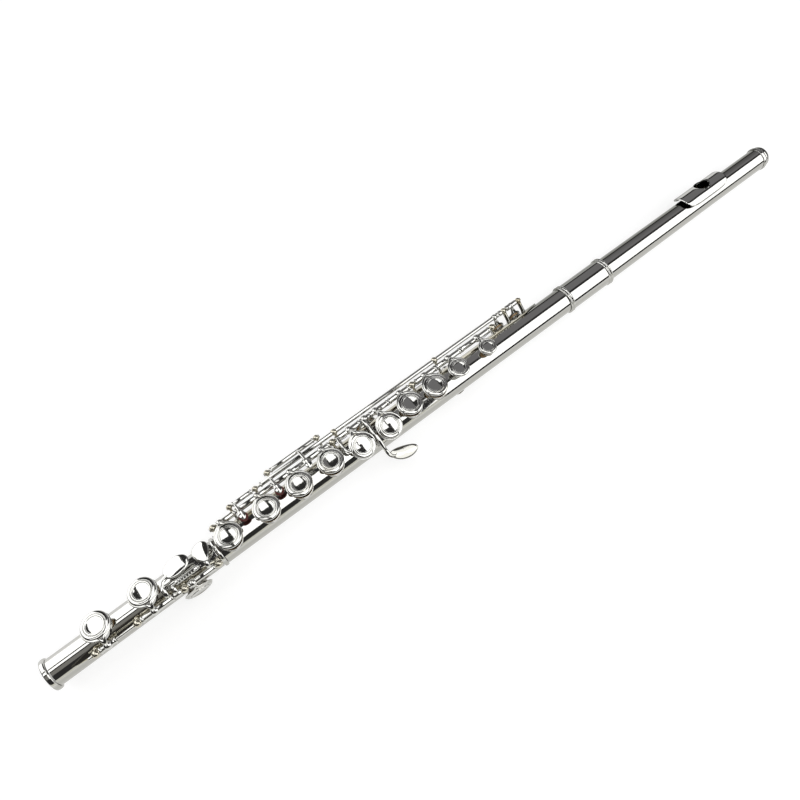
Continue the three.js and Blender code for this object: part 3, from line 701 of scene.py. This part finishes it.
D_TRILL_TOUCH = 184.2
D_SHARP_TRILL_TOUCH = 155
lever("d_trill_touch", KEYS["d_trill"], *trill_touch(D_TRILL_TOUCH))
lever("d_sharp_trill_touch", KEYS["d_sharp_trill"], *trill_touch(D_SHARP_TRILL_TOUCH))
rods("d_sharp_trill_rod", KEYS["d_sharp_trill"],
     (pin(149, 413.5, STEEL_R), at_line(TRILL_LINE)),
     (hinge_tube(153.4, 169.4, FINE_TUBE_R, 0.7), at_line(TRILL_LINE)),
     (hinge_tube(392.2, 394.6, STOUT_TUBE_R, 0.7), at_line(TRILL_LINE)),
     (collar(399.4, 409.2, 0.7, STOUT_TUBE_R, 0.2, 40), at_line(TRILL_LINE)))

felt_stop("d_trill_felt", D_TRILL_TOUCH, KEYS["d_trill"])
felt_stop("d_sharp_trill_felt", D_SHARP_TRILL_TOUCH, KEYS["d_sharp_trill"])

SIDE = 210.6
add("side_lever", joined(
    (hinge_tube(187.5, 224.5, FINE_TUBE_R, FINE_BORE), at_line(SIDE_LINE)),
    strap([(SIDE, 23.4, 7.4), (SIDE, 22.2, 11), (SIDE, 18, 13.8), (SIDE, 13, 15.3),
           (SIDE, 10, 15.9)], ALONG, 1.1, 0.65),
    (button(1.1, 2.7, 3.9, 0.4), Matrix.Translation((SIDE, 9.3, 15.4)))),
    OWNER["side_b_flat_lever"], "key_silver", nodes=["side_b_flat_lever"])

# Thumb touches, on the underside.
UPSIDE_DOWN = Matrix.Rotation(math.pi, 4, "X")
THUMB_B = 325
THUMB_B_FLAT = 315
lever("thumb_b_touch", KEYS["thumb_b"],
      strap([(THUMB_B, 12.2, -11.4), (THUMB_B, 9, -14), (THUMB_B, 3, -14.8)], ALONG, 1.5, 0.7),
      (button(1.2, 3.7, 6.6, 0.3), Matrix.Translation((THUMB_B, 0.4, -14.1)) @ UPSIDE_DOWN))
add("thumb_b_flat_touch", joined(
    (hinge_tube(306.2, 320.8), at_line(THUMB_LINE)),
    strap([(THUMB_B_FLAT, 12.4, -11.4), (THUMB_B_FLAT, 9, -15), (THUMB_B_FLAT, 3, -16.2)], ALONG, 1.5, 0.7),
    (button(1.2, 4.7, 6.6, 0.3), Matrix.Translation((THUMB_B_FLAT, 0.4, -15.5)) @ UPSIDE_DOWN)),
    OWNER["thumb_b_flat_lever"], "key_silver", nodes=["thumb_b_flat_lever"])

# Foot touches: the C sharp plate, the roller beside it and the D sharp touch.
ROLLER_PLACE = Matrix.Translation((0, -9.6, 12.6))
ROLLER = (96.4, 112.4)
ROLLER_BORE = 0.95
RIDGES = 8
LEAN = Matrix.Rotation(math.radians(-7), 4, "Y")     # the touches face a little to the foot
STEEP_LEAN = Matrix.Rotation(math.radians(-10), 4, "Y")
low_c, low_c_sharp, d_sharp = FOOT_KEYS
lever("low_c_sharp_touch", low_c_sharp,
      strap([(87.6, -13.4, 9.2), (87.6, -11, 12.6), (87.9, -7.2, 14.2), (90, -4.2, 14.8),
             (94, -3.2, 15.1), (98, -2.6, 15.3)], ALONG, 1.7, 0.75),
      (button(1.7, 9.7, 6.8, 0.75), Matrix.Translation((102.2, -1.3, 15.0)) @ LEAN))
lever("low_c_touch", low_c,
      strap([(93.5, -14.1, 8.8), (93.5, -13.2, 11), (93.5, -9.7, 12.7)], ALONG, 1.5, 0.75))
rods("low_c_rod", low_c,
     (pin(28, 126.6, STEEL_R), at_line(FOOT_LINE)),
     (hinge_tube(91, 96), at_line(FOOT_LINE)),
     (pin(93, 113.9, 0.6), ROLLER_PLACE),
     (pin(112.8, 113.9, 1.3, 0.3), ROLLER_PLACE))
grooves = []
for k in range(RIDGES + 1):
    x = ROLLER[0] + (ROLLER[1] - ROLLER[0]) * k / RIDGES
    inside = 0 < k < RIDGES
    grooves += [(x - 0.35, 1.78), (x, 1.62), (x + 0.35, 1.78)] if inside else [(x, 1.7)]
barrel = turned([(ROLLER[0], ROLLER_BORE), *grooves, (ROLLER[1], ROLLER_BORE)], 40, loop=True)
add("low_c_roller_barrel", joined((barrel, ROLLER_PLACE)),
    OWNER["low_c_roller"], "key_silver", low_c.place() @ low_c.from_flute(), ["low_c_roller"],
    crease=20)
touch = button(1.6, 6.0, 8.4, 0.75)
for vert in touch.verts:
    vert.co.x *= 1 + 0.045 * vert.co.y
lever("d_sharp_touch", d_sharp,
      strap([(119, -14, 8.8), (119, -13.6, 12.2), (119, -11.4, 14.6), (119.4, -7, 15.6)],
            ALONG, 1.6, 0.75),
      (touch, Matrix.Translation((120.2, -4.6, 15.4)) @ STEEP_LEAN))


# ---- ribs, posts, steels and springs ---------------------------------------------------------
RIB_CLEARANCE = 1.0              # the ribs stand this far off the tone holes
RIB_CLEAR_TOP = 14


def rib_shape(x0, x1, angle, half, radius, point, keys):
    """A strap soldered along the tube, with pointed ends."""
    bm = bmesh.new()
    count = max(8, round((x1 - x0) / FACE_STEP))
    bmesh.ops.create_grid(bm, x_segments=count, y_segments=8, size=0.5)
    inner = radius + RIB_OFF
    for vert in bm.verts:
        x = x0 + (x1 - x0) * (vert.co.x + 0.5)
        near = min(x - x0, x1 - x) / point
        reach = half * min(1.0, 0.06 + 0.94 * near)
        vert.co = Vector((x, *polar(angle + 2 * vert.co.y * reach, inner)))
    bmesh.ops.recalc_face_normals(bm, faces=bm.faces)
    bmesh.ops.solidify(bm, geom=bm.faces[:], thickness=-RIB_THICK)
    if not keys:
        return bm
    clear = [(plug(ROOT, RIB_CLEAR_TOP, key.hole + RIB_CLEARANCE, 48), hole_place(key))
             for key in keys]
    return carved(bm, joined(*clear))


SLIM_WAIST = 0.95
STOUT_WAIST = 1.5


def post_shape(station, line, foot, size, tube_radius=BODY_R, waist=SLIM_WAIST):
    """A post: flanged foot, waisted stem and a ball that is drilled for the hinge."""
    y, z = polar(line[1], line[0])
    base = Vector((station, *polar(foot, tube_radius + RIB_OFF + RIB_THICK * 0.6)))
    head = Vector((station, y, z))
    span = head - base
    length = span.length
    stem = smoothed([(-0.5, 1.9), (0.3, 1.85), (0.75, waist + 0.25), (1.4, waist),
                     (max(1.8, length - size * 1.3), waist + 0.05),
                     (max(2.2, length - size * 0.7), waist + 0.3)])
    turn = Vector((1, 0, 0)).rotation_difference(span.normalized()).to_matrix().to_4x4()
    stem_shape = turned([(-0.5, 0), *stem, (max(2.2, length - size * 0.7), 0)], 28)
    return [(stem_shape, Matrix.Translation(base) @ turn),
            (ball(size), Matrix.Translation(head)),
            (collar(-size * 1.02, size * 1.02, 0.9, size * 0.55, 0.1, 28),
             Matrix.Translation(head))]


SCREW_R = 1.25


def screw_head(x, line, way):
    """A slotted pivot screw in the end of a post."""
    body = turned([(0, 0), (0, SCREW_R), (way * 0.45, SCREW_R), (way * 0.6, SCREW_R * 0.85),
                   (way * 0.6, 0)], 28)
    slit = bmesh.new()
    bmesh.ops.create_cube(slit, size=1)
    slit.transform(Matrix.Translation((way * 0.6, 0, 0)) @ Matrix.Diagonal((0.5, 0.35, 4, 1)))
    return carved(body, slit), at_line(line, x)


def spring_shape(station, way, line, angle, radius):
    """A needle spring from a post's stem to just under the hinge tube."""
    y0, z0 = polar(angle, radius + 3.2)
    y1, z1 = polar(line[1] - 5, line[0] - 2.3)
    start, end = Vector((station, y0, z0)), Vector((station + way * 11, y1, z1))
    return strap([start, start.lerp(end, 0.35), start.lerp(end, 0.7), end], (0, 0, 1),
                 0.24, 0.24, 0.7, 2)


MAIN_RIB = 61
MAIN_POSTS = (134.6, 233.6, 304.9, 381)
TRILL_POSTS = (151, 172, 397, 411.5)
TRILL_GUIDES = (239, 330)
SIDE_POSTS = (185, 227)
OUTER_FOOT = 73
shapes = [rib_shape(130.8, 422, MAIN_RIB, 18, BODY_R, 12, BODY_KEYS)]
for station in MAIN_POSTS:
    shapes += post_shape(station, MAIN_LINE, MAIN_RIB, 2.6)
for station in TRILL_POSTS:
    waist = STOUT_WAIST if station > KEYS["d_trill"].station else SLIM_WAIST
    shapes += post_shape(station, TRILL_LINE, OUTER_FOOT, 2.1, waist=waist)
for station in TRILL_GUIDES:
    shapes += post_shape(station, TRILL_LINE, OUTER_FOOT, 2.5)
for station in SIDE_POSTS:
    shapes += post_shape(station, SIDE_LINE, OUTER_FOOT, 2.3)
add("main_rib_with_posts", joined(*shapes), "body", "rib_silver", nodes=["main_rib"], crease=45)

FOOT_POSTS = (33.2, 63.4, 98.8, 124.8)
FOOT_RIB = -62
shapes = [rib_shape(16.5, 126, FOOT_RIB, 18, FOOT_R, 16, FOOT_KEYS)]
for station in FOOT_POSTS:
    shapes += post_shape(station, FOOT_LINE, FOOT_RIB, 2.6, FOOT_R)
add("foot_rib_with_posts", joined(*shapes), "foot_joint", "rib_silver", FOOT, ["foot_rib"],
    crease=45)

THUMB_RIB = 117
shapes = [rib_shape(297, 354, THUMB_RIB, 9, BODY_R, 7, [])]
for station in (303.5, 347.8):
    shapes += post_shape(station, THUMB_LINE, THUMB_RIB, 2.5)
add("thumb_rib_with_posts", joined(*shapes), "body", "rib_silver", nodes=["thumb_rib"], crease=45)

for name, x0, x1, line, radius in (
        ("right_hand_steel", 132.3, 233.4, MAIN_LINE, STEEL_R),
        ("left_hand_steel", 233.8, 383.2, MAIN_LINE, STEEL_R),
        ("side_steel", 183, 229, SIDE_LINE, FINE_STEEL_R),
        ("thumb_steel", 301.2, 350.1, THUMB_LINE, STEEL_R)):
    add(f"{name}_rod", joined((pin(x0, x1, radius), at_line(line)),
                              screw_head(x0, line, -1), screw_head(x1, line, 1)),
        OWNER[name], "steel", nodes=[name])

MAIN_SPRINGS = ((134.6, 1), (233.6, -1), (233.6, 1), (304.9, -1), (304.9, 1), (381, -1))
add("main_springs", joined(*[spring_shape(x, way, MAIN_LINE, 64, BODY_R)
                             for x, way in MAIN_SPRINGS]), "body", "steel")
FOOT_SPRINGS = ((33.2, 1), (63.4, 1), (98.8, -1), (124.8, -1))
add("foot_springs", joined(*[spring_shape(x, way, FOOT_LINE, -66, FOOT_R)
                             for x, way in FOOT_SPRINGS]), "foot_joint", "steel", FOOT)

# ---- head joint ------------------------------------------------------------------------------
EMBOUCHURE = 600
LIP_ROLL = 35
HEAD = [(449, 9.45), (495, 9.45), (521, 9.34), (548, 9.22), (574, 9.1), (600, 8.92), (662.2, 8.92)]
LIP_LENGTH, LIP_SPREAD, LIP_R = 22.8, 64, 12.5   # half its length, degrees each way, radius
LIP_SHIFT = -2.2                 # the plate's middle, measured from the hole
LIP_DROP = 1.9
LIP_SIDES = 96
HOLE_X, HOLE_Y = 6.6, 5.6
LIP_AT = turned_to(LIP_ROLL, EMBOUCHURE)


def between(x, table):
    """A value read off a table of (place, value)."""
    for (x0, y0), (x1, y1) in zip(table, table[1:]):
        if x <= x1:
            return y0 + (y1 - y0) * (x - x0) / (x1 - x0)
    return table[-1][1]


HEAD_RINGS = 54
HEAD_START, HEAD_END = HEAD[0][0], HEAD[-1][0]
stations = [HEAD_START + (HEAD_END - HEAD_START) * k / HEAD_RINGS for k in range(HEAD_RINGS + 1)]
outer = [(x, between(x, HEAD)) for x in stations]
inner = [(x, r - WALL) for x, r in reversed(outer)]
tube = turned([*outer, *inner], TUBE_SIDES, loop=True)


def oval_post(half_length, half_width, low, high):
    """An upright oval bar, for the blow hole and the riser."""
    bm = plug(low, high, 1, 64)
    bm.transform(Matrix.Diagonal((half_length, half_width, 1, 1)) @ UP)
    return bm


add("head_main_tube", carved(tube, joined((oval_post(7.7, 6.9, 4, 14), LIP_AT))), "head_joint",
    "tube_silver", nodes=["head_tube"])


def lip_point(u, v, lift):
    """A point of the lip plate: u and v run over a unit disc, lift is the height over it."""
    radius = LIP_R + lift - LIP_DROP * abs(v) ** 4
    return Vector((LIP_LENGTH * u + LIP_SHIFT, *polar(LIP_SPREAD * v, radius)))


def lip_shape():
    """The lip plate: one skin from the hole's edge out over its rim and back underneath."""
    bm = bmesh.new()
    bmesh.ops.create_circle(bm, cap_ends=False, radius=1, segments=LIP_SIDES)
    spokes = {vert: vert.co.to_2d().normalized() for vert in bm.verts}
    edges = bm.edges[:]
    hole_v = math.degrees(math.asin(HOLE_Y / LIP_R)) / LIP_SPREAD
    # Each loop's reach from the hole (0) to the rim (1), and its lift off the mid surface.
    route = [(0.0, -0.45), (-0.008, -0.1), (0.0, 0.34), (0.015, 0.47), (0.12, 0.5), (0.3, 0.5),
             (0.5, 0.5), (0.7, 0.5), (0.85, 0.5), (0.95, 0.48), (0.985, 0.34), (1.0, 0.0),
             (0.985, -0.34), (0.95, -0.45), (0.8, -0.5), (0.5, -0.5), (0.2, -0.5)]

    def settle(verts, reach, lift):
        for vert in verts:
            way = spokes[vert]
            squared = (abs(way.x) ** 4 + abs(way.y) ** 4) ** -0.25
            rim = Vector((way.x * squared, way.y * squared))
            hole = Vector(((way.x * HOLE_X - LIP_SHIFT) / LIP_LENGTH, way.y * hole_v))
            spot = hole.lerp(rim, reach)
            vert.co = lip_point(spot.x, spot.y, lift)

    settle(bm.verts, *route[0])
    first = edges
    for reach, lift in route[1:]:
        grown = bmesh.ops.extrude_edge_only(bm, edges=edges)["geom"]
        fresh = [v for v in grown if isinstance(v, bmesh.types.BMVert)]
        held = set(fresh)
        edges = [e for e in grown if isinstance(e, bmesh.types.BMEdge)
                 and e.verts[0] in held and e.verts[1] in held]
        for vert in fresh:
            below = [edge.other_vert(vert) for edge in vert.link_edges]
            spokes[vert] = next(spokes[old] for old in below if old not in held)
        settle(fresh, reach, lift)
    bmesh.ops.bridge_loops(bm, edges=first + edges)
    return bm


add("lip_rest_plate", lip_shape(), "head_joint", "tube_silver", LIP_AT, ["lip_plate"])
riser = carved(oval_post(7.4, 6.6, 5, 11.7), oval_post(6.5, 5.5, 4, 15))
riser = carved(riser, plug(-20, 20, 8.5, TUBE_SIDES))
add("riser_wall", riser, "head_joint", "tube_silver", LIP_AT, ["riser"])

CROWN_LINE = smoothed([
    (652.5, 2.1), (652.5, 2.1), (652.5, 8.1), (652.5, 8.1), (662.5, 8.1), (662.5, 8.1),
    (662.5, 9.2), (662.9, 9.55), (663.8, 9.75), (664.8, 9.72), (665.5, 9.4), (665.8, 9.05),
    (666.3, 8.95), (667.4, 8.9), (669.0, 8.5), (670.6, 7.4), (671.9, 5.6), (672.7, 3.2),
    (673.0, 0)])
add("crown_cap", turned([(656, 0), (656, 2.0), *CROWN_LINE], TUBE_SIDES), OWNER["crown"], "tube_silver",
    nodes=["crown"])
for name, slot in (("stopper_cork", "cork"), ("stopper_screw", "brass"), ("stopper_nut", "brass")):
    for holder in frame["nodes"][name].material_slots:
        holder.material = FINISHES[slot]

# ---- the room --------------------------------------------------------------------------------
FLOOR_GLOW = 0.7
TABLE_SIZE = 6
TABLE_DROP = 0.0005              # the table lies this far below the part, in metres
SKY = (0.04, 0.04, 0.04, 1)
BRIGHT = 2.2
WHITE = (1, 1, 1)


def make_room():
    bm = bmesh.new()
    bmesh.ops.create_grid(bm, x_segments=1, y_segments=1, size=TABLE_SIZE)
    mesh = bpy.data.meshes.new("white_table")
    bm.to_mesh(mesh)
    bm.free()
    table = bpy.data.objects.new("white_table", mesh)
    table.location.z = -TABLE_DROP
    bpy.context.scene.collection.objects.link(table)
    paper = Finish("white_paper", Base_Color=(0.4, 0.4, 0.4, 1), Roughness=0.9,
                   Emission_Color=(1, 1, 1, 1), Emission_Strength=FLOOR_GLOW)
    mesh.materials.append(paper.material)
    world = bpy.data.worlds.new("studio")
    world.use_nodes = True
    world.node_tree.nodes["Background"].inputs["Color"].default_value = SKY
    bpy.context.scene.world = world


def softbox(name, centre, size, radiance, aim, colour):
    """A soft light of a size in metres and an even brightness, turned to a point."""
    lamp = bpy.data.lights.new(name, "AREA")
    lamp.shape = "RECTANGLE"
    lamp.size, lamp.size_y = size
    lamp.color = colour
    lamp.energy = math.pi * size[0] * size[1] * radiance
    holder = bpy.data.objects.new(name, lamp)
    bpy.context.scene.collection.objects.link(holder)
    back = (Vector(centre) - Vector(aim)).normalized()
    side = Vector((1, 0, 0))
    side = (side - side.dot(back) * back).normalized()
    turn = Matrix((side, back.cross(side), back)).transposed().to_4x4()
    holder.matrix_world = Matrix.Translation(centre) @ turn
    holder.visible_camera = False


def overhead(name, angle, span, x0, x1, radiance, colour):
    """A softbox a metre from the flute, at an angle from straight up and covering a span."""
    width = 2 * math.tan(math.radians(span / 2))
    middle = (x0 + x1) / 2
    softbox(name, (middle, *polar(angle, 1.0)), (x1 - x0, width), radiance, (middle, 0, 0.02),
            colour)


make_room()
for light in (("far_left_box", 57, 64, -1.3, -0.34, BRIGHT, WHITE),
              ("left_strip", 10, 14, -1.3, -0.34, BRIGHT, WHITE),
              ("middle_box", 8, 54, -0.23, 0.1, BRIGHT, WHITE),
              ("middle_wing", -22, 26, -0.23, 0.2, BRIGHT, WHITE),
              ("right_box", -37, 70, 0.28, 1.7, BRIGHT, WHITE),
              ("near_wall", -84, 20, -1.5, 0.28, 0.9, (1, 0.99, 0.9)),
              ("left_ceiling", -18, 26, -1.3, -0.34, 0.26, (1, 0.97, 0.9)),
              ("right_wall", 45, 60, 0.15, 1.7, 0.2, (0.98, 0.96, 1))):
    overhead(*light)


# ---- the camera ------------------------------------------------------------------------------
LENS = 35.117
SHIFT = (-0.0018, 0.0024)
CAMERA_PLACE = Vector((156.46, -143.55, 530.70))
CAMERA_RIGHT = Vector((0.78625, -0.61745, 0.02382))
CAMERA_TOP = Vector((0.56932, 0.73888, 0.36047))


def make_camera():
    lens = bpy.data.cameras.new("camera")
    lens.lens = LENS
    lens.sensor_width = 36
    lens.clip_start = 0.01
    holder = bpy.data.objects.new("camera", lens)
    bpy.context.scene.collection.objects.link(holder)
    back = CAMERA_RIGHT.cross(CAMERA_TOP)
    turn = Matrix((CAMERA_RIGHT, CAMERA_TOP, back)).transposed().to_4x4()
    holder.matrix_world = Matrix.Translation(FLUTE @ CAMERA_PLACE) @ turn
    lens.shift_x, lens.shift_y = SHIFT
    bpy.context.scene.camera = holder


make_camera()
bpy.context.scene.view_settings.view_transform = "Standard"
